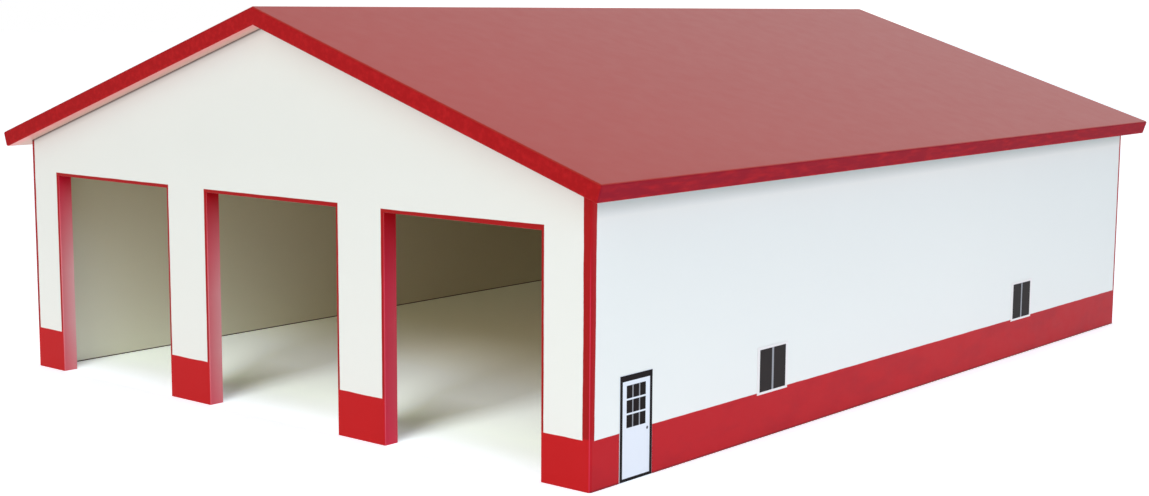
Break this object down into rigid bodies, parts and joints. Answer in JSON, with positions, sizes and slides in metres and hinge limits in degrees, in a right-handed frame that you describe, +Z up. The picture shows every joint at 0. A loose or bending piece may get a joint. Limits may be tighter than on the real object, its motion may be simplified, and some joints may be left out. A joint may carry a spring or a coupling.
{
  "type": "toy farm shop building",
  "caption": "Toy farm shop: open-bay gable front, closed side and back walls and a low-pitched roof of two slabs, with a printed walk door and windows on one side.",
  "frame": {"origin": "on the table, under the middle of the roof's outline", "axes": "+X to the right seen from the front, +Y from the bay front to the closed back, +Z up"},
  "size_m": [0.3184, 0.414, 0.1503],
  "materials": {
    "wall_board": "satin white paint on smooth board, with a red wainscot band, margins and edges on the outer faces",
    "roof_board": "satin red paint on smooth board, white underneath",
    "glue_strip": "bare sawn softwood",
    "printed_film": "printed self-adhesive film, nearly flat"
  },
  "bodies": {
    "root": {"front_wall": "wall_board", "back_wall": "wall_board", "right_wall": "wall_board", "left_wall": "wall_board", "roof_right": "roof_board", "roof_left": "roof_board", "ridge_beam": "glue_strip", "eave_strip_right": "glue_strip", "eave_strip_left": "glue_strip", "corner_strip_front_left": "glue_strip", "corner_strip_front_right": "glue_strip", "corner_strip_back_right": "glue_strip", "corner_strip_back_left": "glue_strip", "walk_door": "printed_film", "window_front": "printed_film", "window_rear": "printed_film"}
  },
  "joints": []
}
